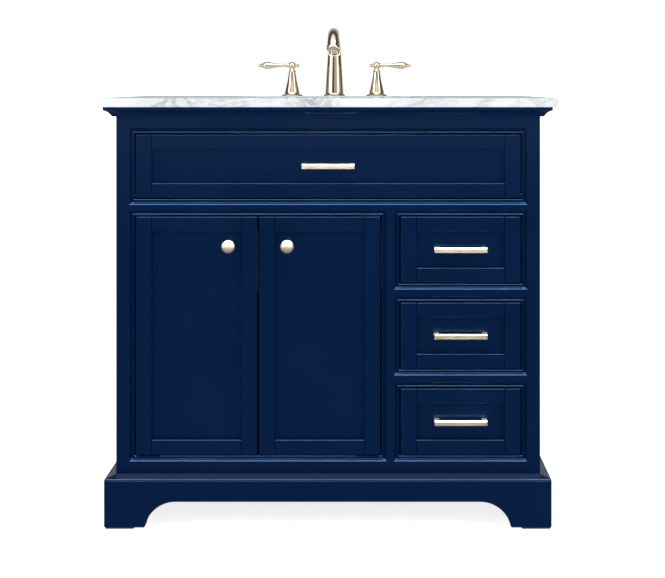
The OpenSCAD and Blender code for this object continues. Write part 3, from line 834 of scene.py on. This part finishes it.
class VANITY_OT_tip_out(bpy.types.Operator):
    """The tip-out front below the top, with its pull and tray"""
    bl_idname = "vanity.tip_out"
    bl_label = "Tip-out front"

    def execute(self, context):
        settings = context.scene.vanity_case
        low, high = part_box("tip_out_frame")
        bm = bmesh.new()
        framed_front(bm, low, high, settings.stile_width, settings.rail_width)
        part("tip_out_members", bm, "tip_out", "paint", ["tip_out_frame"], settings.edge, 3, True)
        low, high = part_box("tip_out_panel")
        bm = bmesh.new()
        board(bm, low, high)
        part("tip_out_board", bm, "tip_out", "paint", ["tip_out_panel"], PANEL_EDGE)
        low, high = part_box("tip_out_pull")
        bm = bmesh.new()
        bar_pull(bm, low, high, context.scene.vanity_metal.chamfer)
        part("tip_out_bar_pull", bm, "tip_out", "satin", ["tip_out_pull"], 0.25 * MM)
        self.tray()
        return {"FINISHED"}

    def tray(self):
        """A moulded tray, open at the top."""
        low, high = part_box("tip_out_tray")
        wall = 2 * MM
        bm = bmesh.new()
        verts = board(bm, low, high)
        top = [f for f in {f for v in verts for f in v.link_faces} if f.normal.z > 0.9]
        bmesh.ops.inset_individual(bm, faces=top, thickness=wall)
        bmesh.ops.translate(bm, verts=list(top[0].verts), vec=(0, 0, wall - (high.z - low.z)))
        part("tip_out_moulded_tray", bm, "tip_out", "plastic", ["tip_out_tray"], 0.8 * MM, 3)


# ---------------------------------------------------------------- stone top
class VANITY_OT_top(bpy.types.Operator):
    """The stone top with its cut-outs"""
    bl_idname = "vanity.top"
    bl_label = "Stone top"

    def execute(self, context):
        low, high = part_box("countertop")
        bowl_low, bowl_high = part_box("basin")
        centre = (bowl_low + bowl_high) / 2
        width = bowl_high.x - bowl_low.x - 2 * BOWL_RIM
        depth = bowl_high.y - bowl_low.y - 2 * BOWL_RIM
        bm = bmesh.new()
        corners = [(low.x, low.y), (high.x, low.y), (high.x, high.y), (low.x, high.y)]
        verts = [bm.verts.new((x, y, high.z)) for x, y in corners]
        edges = [bm.edges.new(pair) for pair in zip(verts, verts[1:] + verts[:1])]
        edges += rounded_loop(bm, width, depth, BOWL_CORNER, (centre.x, centre.y, high.z), 12)
        for node in ("lever_left", "spout", "lever_right"):
            at = hole_centre(node)
            ring = bmesh.ops.create_circle(bm, segments=32, radius=TAP_HOLE_RADIUS,
                                           matrix=Matrix.Translation((at.x, at.y, high.z)))
            edges += list({e for v in ring["verts"] for e in v.link_edges})
        filled = bmesh.ops.triangle_fill(bm, edges=edges, use_beauty=True)
        faces = [g for g in filled["geom"] if isinstance(g, bmesh.types.BMFace)]
        if not faces:
            raise RuntimeError("the stone top could not be filled")
        extruded(bm, faces, (0, 0, low.z - high.z))
        part("stone_slab", bm, "cabinet", "stone", ["countertop"],
             context.scene.vanity_top.edge, 4)
        return {"FINISHED"}


def hole_centre(node):
    """Where a faucet piece stands on the top: on the middle of its upright."""
    bells_low, bells_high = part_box("handle_bells")
    radius = (bells_high.y - bells_low.y) / 2
    y = bells_high.y - radius
    x = {"lever_left": bells_low.x + radius, "spout": 0.0, "lever_right": bells_high.x - radius}
    return Vector((x[node], y, bells_low.z))


# Profiles are (radius, height) in millimetres.
DRAIN_PROFILE = [
    (17, -60), (21.5, -60), (21.5, 0.4), (30.4, 3.2), (31, 3.8), (30.6, 4.6), (28, 5),
    (24, 4.5), (20.5, 1.5), (19, -1), (17.4, -5), (17, -10), (17, -60),
]
STOPPER_PROFILE = [
    (0, -24), (4, -24), (4, -2), (12, -1), (15, 0), (20, 3.4), (21.6, 5), (22, 5.6), (21.6, 6.4),
]


class VANITY_OT_basin(bpy.types.Operator):
    """The undermount basin with its drain, stopper and tailpiece"""
    bl_idname = "vanity.basin"
    bl_label = "Basin"

    def execute(self, context):
        low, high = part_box("basin")
        wall = 9 * MM
        drain_r = 22 * MM
        floor = low.z + wall + 3 * MM
        centre = (low + high) / 2
        width = high.x - low.x - 2 * BOWL_RIM
        depth = high.y - low.y - 2 * BOWL_RIM
        taper = 5 * MM
        bend = 34 * MM
        bends = 8
        rim_z = high.z - 0.2 * MM
        outlines = [
            (width + 2 * BOWL_RIM, depth + 2 * BOWL_RIM, BOWL_CORNER + BOWL_RIM, rim_z),
            (width, depth, BOWL_CORNER, rim_z),
        ]
        for i in range(bends + 1):
            angle = math.radians(90 * i / bends)
            inward = taper + bend * (1 - math.cos(angle))
            outlines.append((width - 2 * inward, depth - 2 * inward,
                             max(BOWL_CORNER - 0.6 * inward, 12 * MM),
                             floor + 2.5 * MM + bend * (1 - math.sin(angle))))
        around_drain = 2 * drain_r + 12 * MM
        outlines += [
            (width * 0.5, depth * 0.52, depth * 0.2, floor + 1.4 * MM),
            (around_drain, around_drain, drain_r + 5.9 * MM, floor + 0.3 * MM),
            (2 * drain_r, 2 * drain_r, drain_r - 0.1 * MM, floor - 1.5 * MM),
        ]
        bm = bmesh.new()
        loops = [rounded_loop(bm, across, deep, radius, (centre.x, centre.y, z))
                 for across, deep, radius, z in outlines]
        for first, second in zip(loops, loops[1:]):
            bmesh.ops.bridge_loops(bm, edges=first + second)
        bmesh.ops.recalc_face_normals(bm, faces=list(bm.faces))
        if sum(f.normal.z * f.calc_area() for f in bm.faces) < 0:
            bmesh.ops.reverse_faces(bm, faces=list(bm.faces))
        obj = piece("basin_bowl", bm, "cabinet", "glazed", finish_for("china"), ["basin"],
                    closed=False)
        shell = obj.modifiers.new("wall", "SOLIDIFY")
        shell.thickness = wall - 1 * MM
        shell.offset = -1
        self.fittings(centre, floor)
        return {"FINISHED"}

    def fittings(self, centre, floor):
        """The drain's flange, the domed stopper and the steel parts below."""
        place = Matrix.Translation((centre.x, centre.y, floor))
        bm = bmesh.new()
        turned(bm, scaled(DRAIN_PROFILE, MM), place, 64)
        part("drain_flange", bm, "cabinet", "gold", ["drain"])
        dome = []
        for i in range(1, 10):
            angle = math.radians(10 * i)
            dome.append((21.4 * math.cos(angle), 6.2 + 3.8 * math.sin(angle)))
        bm = bmesh.new()
        turned(bm, scaled(STOPPER_PROFILE + dome, MM), place, 64)
        part("popup_stopper", bm, "stopper", "gold", ["stopper"])
        for node in ("drain_nut", "tailpiece", "valves", "spout_nut"):
            refinish(node, finish_for("steel"), 0.5 * MM if node != "tailpiece" else 0.0)


# ---------------------------------------------------------------- faucet
BELL_PROFILE = [
    (5.1, 0.1), (24.6, 0.1), (25.2, 0.7), (25.3, 1.6), (24.6, 2.6), (22.6, 3.6), (20.2, 4.3),
    (18.6, 5.2), (17.8, 6.4), (17.2, 8.2), (16.6, 11), (15.4, 16.5), (13.9, 23), (12.3, 30),
    (10.9, 37), (9.7, 44), (8.7, 51), (8.0, 55.6), (7.9, 56.6), (8.5, 57.2), (8.8, 58.2),
    (8.5, 59.2), (7.6, 59.9), (6.6, 61.2), (5.9, 62.9), (5.1, 63),
]
LEVER_PROFILE = [
    (0, 5), (4.0, 6.6), (4.6, 8.2), (4.9, 9.6), (4.6, 11), (3.4, 11.8), (3.0, 13), (3.3, 14.6),
    (4.2, 16.2), (3.6, 18), (3.1, 20.5), (3.0, 24), (3.4, 29), (4.2, 35), (5.4, 42), (6.8, 49),
    (7.9, 54.5), (8.4, 59), (8.2, 63), (7.2, 66.6), (5.8, 69.2), (4.2, 70.8), (3.7, 71.6),
    (4.4, 72.4), (4.9, 73.4), (4.4, 74.4), (3.1, 75.2), (2.5, 76), (3.2, 77.2), (3.5, 78.6),
    (2.9, 80.2), (1.6, 81.4), (0, 81.9),
]
FINIAL_PROFILE = [
    (0, 5), (3.4, 7), (3.8, 8), (3.2, 9.2), (2.2, 10), (2.4, 10.9), (3.6, 11.8), (4.3, 13.2),
    (4.0, 14.8), (2.8, 16.2), (1.4, 16.9), (0, 17),
]
HUB_PROFILE = [(0, -8.2), (3, -7.9), (5, -6.9)] + arc((0, 0), 8.5, -50, 90, 14)
NECK_PROFILE = [
    (0, 63.2), (6.2, 63.2), (6.6, 64.2), (6.0, 65.2), (4.8, 66.4), (4.6, 67.5), (0, 67.5),
]
SPOUT_BASE_PROFILE = [
    (0, 0.1), (25, 0.1), (25.8, 0.8), (25.9, 1.9), (25.1, 3), (23.6, 3.8), (22.4, 4.8),
    (21.7, 6.2), (21.4, 8), (21.1, 12), (0, 12),
]
COLUMN_PROFILE = [
    (21.1, 12), (20.6, 20), (19.9, 32), (19.1, 46), (18.2, 60), (17.3, 74), (16.5, 86),
]
MOUTH_PROFILE = [
    (0, 0), (13.5, 0), (14.6, 0.8), (15.2, 1.9), (15.4, 3.4), (15.4, 6.6), (15.1, 7.4),
    (14.4, 7.9), (12.6, 7.9), (12.1, 7.5), (11.9, 6.6), (0, 6.6),
]
AERATOR_PROFILE = [(0, 5.6), (11.8, 5.6), (11.8, 7.2), (10.6, 7.5), (9.6, 7.0), (0, 7.0)]


class VANITY_OT_faucet(bpy.types.Operator):
    """The widespread faucet: arched spout, two bell bases and two levers"""
    bl_idname = "vanity.faucet"
    bl_label = "Faucet"

    def execute(self, context):
        self.spout()
        bm = bmesh.new()
        bell = scaled(BELL_PROFILE + BELL_PROFILE[:1], MM)
        for node in ("lever_left", "lever_right"):
            turned(bm, bell, Matrix.Translation(hole_centre(node)), 64)
        part("bell_bases", bm, "cabinet", "gold", ["handle_bells"])
        for node, side in (("lever_left", -1), ("lever_right", 1)):
            self.lever(node, side)
        return {"FINISHED"}

    def lever(self, node, side):
        """A hub ball with a teardrop lever outwards, a finial inwards and a stem below."""
        base = hole_centre(node)
        low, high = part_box(node)
        ball_r = 8.5 * MM
        hub = Matrix.Translation((base.x, base.y, high.z - ball_r))
        foot = Matrix.Translation(base)
        bm = bmesh.new()
        turned(bm, scaled(HUB_PROFILE, MM), hub, 48)
        for profile, turn, steps in ((LEVER_PROFILE, 90, 40), (FINIAL_PROFILE, -90, 32)):
            outwards = Matrix.Rotation(math.radians(turn * side), 4, "Y")
            turned(bm, scaled(profile, MM), hub @ outwards, steps)
        stem_r, stem_top = 5 * MM, 64.2 * MM
        stem = [(0, low.z - base.z), (stem_r, low.z - base.z), (stem_r, stem_top), (0, stem_top)]
        turned(bm, stem, foot, 32)
        turned(bm, scaled(NECK_PROFILE, MM), foot, 40)
        part(node + "_handle", bm, node, "gold", [node])

    def spout(self):
        """A tapering column that bends forward and flares to its mouth."""
        base = hole_centre("spout")
        foot = Matrix.Translation(base)
        tube = 11.9 * MM
        bend_r = 54 * MM
        bend_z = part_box("spout")[1].z - base.z - bend_r - 12 * MM
        end_angle = 156
        bends = 30
        middle = foot @ Matrix.Translation((0, -bend_r, bend_z))
        to_tube = Matrix.Translation((0, bend_r, 0))
        places = []
        for radius, z in scaled(COLUMN_PROFILE, MM):
            places.append(foot @ Matrix.Translation((0, 0, z))
                          @ Matrix.Diagonal((radius, radius, 1, 1)))
        for i in range(bends + 1):
            share = i / bends
            radius = self.tube_radius(share) * tube
            turn = Matrix.Rotation(math.radians(end_angle * share), 4, "X")
            places.append(middle @ turn @ to_tube @ Matrix.Diagonal((radius, radius, 1, 1)))
        bm = bmesh.new()
        swept(bm, places, 48)
        turned(bm, scaled(SPOUT_BASE_PROFILE, MM), foot, 64)
        part("arched_spout", bm, "cabinet", "gold", ["spout"])
        mouth = middle @ Matrix.Rotation(math.radians(end_angle), 4, "X") @ to_tube
        bm = bmesh.new()
        turned(bm, scaled(MOUTH_PROFILE, MM), mouth, 48)
        part("spout_mouth", bm, "cabinet", "gold", [])
        bm = bmesh.new()
        turned(bm, scaled(AERATOR_PROFILE, MM), mouth, 40)
        part("aerator_insert", bm, "cabinet", "steel", ["aerator"])

    def tube_radius(self, share):
        """The tube's width along its bend, as a share of its width at the top."""
        foot, narrow, mouth = 1.34, 1.0, 1.14
        waist = 0.55
        if share < waist:
            start, end, t = foot, narrow, share / waist
        else:
            start, end, t = narrow, mouth, (share - waist) / (1 - waist)
        return start + (end - start) * t * t * (3 - 2 * t)


# ---------------------------------------------------------------- stage
def aim(obj, target):
    """Turns a light or camera towards a point."""
    direction = Vector(target) - obj.location
    obj.rotation_euler = direction.to_track_quat("-Z", "Y").to_euler()


def softbox(name, location, target, size, power, matt=True):
    """A rectangular studio light. With matt off it shows in reflections only."""
    data = bpy.data.lights.new(name, "AREA")
    data.shape = "RECTANGLE"
    data.size, data.size_y = size
    data.energy = power
    obj = bpy.data.objects.new(name, data)
    bpy.context.scene.collection.objects.link(obj)
    obj.visible_camera = False
    obj.visible_diffuse = matt
    obj.location = location
    aim(obj, target)
    return obj


class VANITY_OT_stage(bpy.types.Operator):
    """Floor, soft studio lights and camera"""
    bl_idname = "vanity.stage"
    bl_label = "Stage"

    def execute(self, context):
        settings = context.scene.vanity_stage
        scene = context.scene
        scene.view_settings.view_transform = "Standard"
        self.floor(settings)
        self.world(scene)
        softbox("overhead", (0.0, -0.9, 2.6), (0, -0.15, 0.5), (2.6, 1.0), 24)
        softbox("left_bank", (-2.3, -1.5, 1.5), (0, -0.2, 0.6), (0.8, 2.0), 12)
        softbox("right_bank", (2.4, -1.5, 1.5), (0, -0.2, 0.6), (0.8, 2.0), 11)
        reflector = softbox("reflector", (0, -1.7, 3.3), (0, -1.7, 0), (5.0, 5.0), 2200, False)
        self.keep_to(reflector, (finish_for("paint"), finish_for("satin")))
        self.camera(scene, settings)
        return {"FINISHED"}

    def keep_to(self, light, materials):
        """Lets a light fall on the pieces of a few finishes only."""
        lit = bpy.data.collections.new("lit_by_" + light.name)
        names = {material.name for material in materials}
        for obj in bpy.data.objects:
            if obj.type == "MESH" and names & {m.name for m in obj.data.materials if m}:
                lit.objects.link(obj)
        light.light_linking.receiver_collection = lit

    def floor(self, settings):
        """A pale floor that looks darker in reflections near the object and bright far away."""
        bm = bmesh.new()
        bmesh.ops.create_grid(bm, x_segments=1, y_segments=1, size=120)
        mesh = bpy.data.meshes.new("studio_floor")
        bm.to_mesh(mesh)
        bm.free()
        material, tree, shader = new_material("floor_paper", Roughness=0.9, Specular_IOR_Level=0.1)
        shade = effect(tree, "mottle", Colour=(*settings.floor, 1), Scale=2.0, Spread=0.004)
        path = add_node(tree, "ShaderNodeLightPath")
        dim = add_node(tree, "ShaderNodeMix", data_type="RGBA")
        dim.inputs["B"].default_value = (0.25, 0.25, 0.25, 1)
        place = add_node(tree, "ShaderNodeTexCoord")
        away = add_node(tree, "ShaderNodeVectorMath", operation="LENGTH")
        far = add_node(tree, "ShaderNodeMapRange", interpolation_type="SMOOTHSTEP",
                       From_Min=9.0, From_Max=20.0, To_Min=0.0, To_Max=1.7)
        lift = add_node(tree, "ShaderNodeMapRange", To_Min=0.8)
        tree.links.new(place.outputs["Object"], away.inputs[0])
        tree.links.new(away.outputs["Value"], far.inputs["Value"])
        tree.links.new(far.outputs[0], lift.inputs["To Max"])
        tree.links.new(path.outputs["Is Glossy Ray"], dim.inputs["Factor"])
        tree.links.new(path.outputs["Is Glossy Ray"], lift.inputs["Value"])
        tree.links.new(shade.outputs["Colour"], dim.inputs["A"])
        tree.links.new(dim.outputs["Result"], shader.inputs["Base Color"])
        tree.links.new(lift.outputs[0], shader.inputs["Emission Strength"])
        shader.inputs["Emission Color"].default_value = (1, 1, 1, 1)
        mesh.materials.append(material)
        obj = bpy.data.objects.new("studio_floor", mesh)
        bpy.context.scene.collection.objects.link(obj)

    def world(self, scene):
        """White behind the object, even soft light on it, and a dim room in its reflections."""
        world = bpy.data.worlds.new("studio")
        scene.world = world
        world.use_nodes = True
        tree = world.node_tree
        tree.nodes.clear()
        out = add_node(tree, "ShaderNodeOutputWorld")
        white = add_node(tree, "ShaderNodeBackground", Color=(1, 1, 1, 1), Strength=1.0)
        soft = add_node(tree, "ShaderNodeBackground", Color=(1, 1, 1, 1), Strength=0.72)
        room = add_node(tree, "ShaderNodeBackground", Strength=1.0)
        seen = add_node(tree, "ShaderNodeMixShader")
        shine = add_node(tree, "ShaderNodeMixShader")
        path = add_node(tree, "ShaderNodeLightPath")
        place = add_node(tree, "ShaderNodeNewGeometry")
        link = tree.links.new
        link(self.room_light(tree, place.outputs["Position"]), room.inputs["Strength"])
        link(path.outputs["Is Glossy Ray"], shine.inputs[0])
        link(soft.outputs[0], shine.inputs[1])
        link(room.outputs[0], shine.inputs[2])
        link(path.outputs["Is Camera Ray"], seen.inputs[0])
        link(shine.outputs[0], seen.inputs[1])
        link(white.outputs[0], seen.inputs[2])
        link(seen.outputs[0], out.inputs["Surface"])

    def room_light(self, tree, towards):
        """How bright the room is in each direction: banks of light overhead, on each side of the
        front and behind, and a weak one ahead. Each bank has a direction, the start and end of
        its soft edge, and a strength."""
        banks = (
            ((0, -0.5, 0.87), 0.66, 0.86, 1.3),
            ((-0.82, -0.57, 0.05), 0.88, 0.93, 1.8),
            ((0.80, -0.60, 0.05), 0.84, 0.95, 0.8),
            ((0.22, -0.975, 0.02), 0.94, 0.985, 0.55),
            ((0, 1, 0.1), 0.55, 0.95, 0.5),
        )
        total = None
        for direction, start, end, strength in banks:
            along = add_node(tree, "ShaderNodeVectorMath", operation="DOT_PRODUCT")
            along.inputs[1].default_value = direction
            level = add_node(tree, "ShaderNodeMapRange", interpolation_type="SMOOTHSTEP",
                             From_Min=start, From_Max=end, To_Max=strength)
            tree.links.new(towards, along.inputs[0])
            tree.links.new(along.outputs["Value"], level.inputs["Value"])
            added = add_node(tree, "ShaderNodeMath", operation="ADD")
            added.inputs[0].default_value = 0.10
            if total:
                tree.links.new(total, added.inputs[0])
            tree.links.new(level.outputs[0], added.inputs[1])
            total = added.outputs[0]
        return total

    def camera(self, scene, settings):
        """Level with the top and square to the front, a little right of the middle."""
        data = bpy.data.cameras.new("camera")
        data.lens = settings.lens
        data.sensor_width = 36
        data.shift_x = -0.0504
        data.shift_y = -0.3068
        data.clip_end = 200
        obj = bpy.data.objects.new("camera", data)
        scene.collection.objects.link(obj)
        top_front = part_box("countertop")[0].y
        obj.location = (settings.eye_side, top_front - settings.eye_distance, settings.eye_height)
        obj.rotation_euler = (math.radians(90), 0, 0)
        scene.camera = obj


class VANITY_PT_panel(bpy.types.Panel):
    """Buttons and settings for the vanity cabinet"""
    bl_idname = "VANITY_PT_panel"
    bl_label = "Vanity cabinet"
    bl_space_type = "VIEW_3D"
    bl_region_type = "UI"
    bl_category = "Vanity"

    def draw(self, context):
        layout = self.layout
        for operator in OPERATORS:
            layout.operator(operator.bl_idname)
        for group in ("vanity_case", "vanity_top", "vanity_metal", "vanity_stage"):
            box = layout.box()
            settings = getattr(context.scene, group)
            for name in settings.__annotations__:
                box.prop(settings, name)


OPERATORS = (
    VANITY_OT_case, VANITY_OT_base, VANITY_OT_mouldings, VANITY_OT_doors,
    VANITY_OT_drawers, VANITY_OT_tip_out, VANITY_OT_top, VANITY_OT_basin, VANITY_OT_faucet,
    VANITY_OT_stage,
)
SETTINGS = {
    "vanity_case": CaseSettings, "vanity_top": TopSettings, "vanity_metal": MetalSettings,
    "vanity_stage": StageSettings,
}


def register():
    """Adds the settings, the operators and the panel."""
    for name, group in SETTINGS.items():
        bpy.utils.register_class(group)
        setattr(bpy.types.Scene, name, bpy.props.PointerProperty(type=group))
    for cls in (*OPERATORS, VANITY_PT_panel):
        bpy.utils.register_class(cls)


def unregister():
    """Takes them away again."""
    for cls in reversed((*OPERATORS, VANITY_PT_panel)):
        bpy.utils.unregister_class(cls)
    for name, group in SETTINGS.items():
        delattr(bpy.types.Scene, name)
        bpy.utils.unregister_class(group)


def main():
    """Builds every piece."""
    register()
    for operator in OPERATORS:
        getattr(bpy.ops.vanity, operator.bl_idname.split(".")[1])()


if __name__ == "__main__":
    main()
